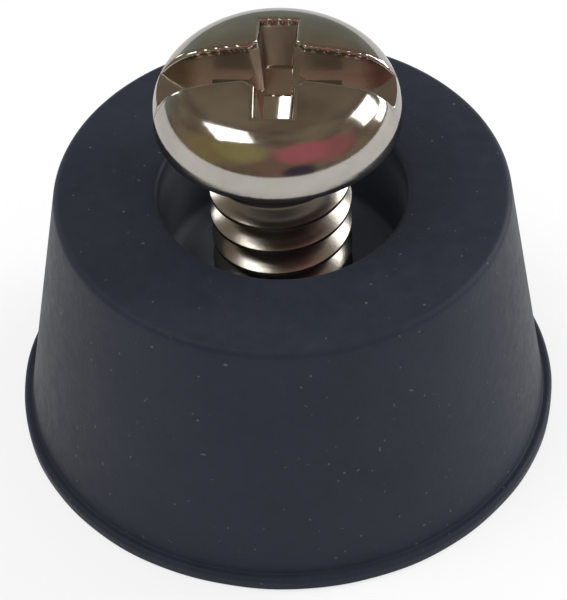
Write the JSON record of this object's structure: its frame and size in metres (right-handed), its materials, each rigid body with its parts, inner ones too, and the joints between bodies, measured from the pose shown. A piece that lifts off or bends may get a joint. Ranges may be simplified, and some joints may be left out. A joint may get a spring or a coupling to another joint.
{
  "type": "rubber foot",
  "caption": "Tapered round rubber foot with a thin base lip and a recessed tread, with a pan-head machine screw standing in its hole.",
  "frame": {"origin": "centre of the wide face that is fixed to the equipment, at the bottom as the foot stands", "axes": "+Z along the foot's axis, from the wide face to the narrow tread and the screw's head; +X along the straight slot to within a few degrees, and -Y towards the picture's viewpoint"},
  "size_m": [0.019, 0.019, 0.0155],
  "materials": {
    "foot_rubber": "matt moulded black rubber with a faint bluish bloom",
    "screw_plating": "bright nickel plating"
  },
  "bodies": {
    "root": {"rubber_foot": "foot_rubber", "screw": "screw_plating"}
  },
  "joints": []
}
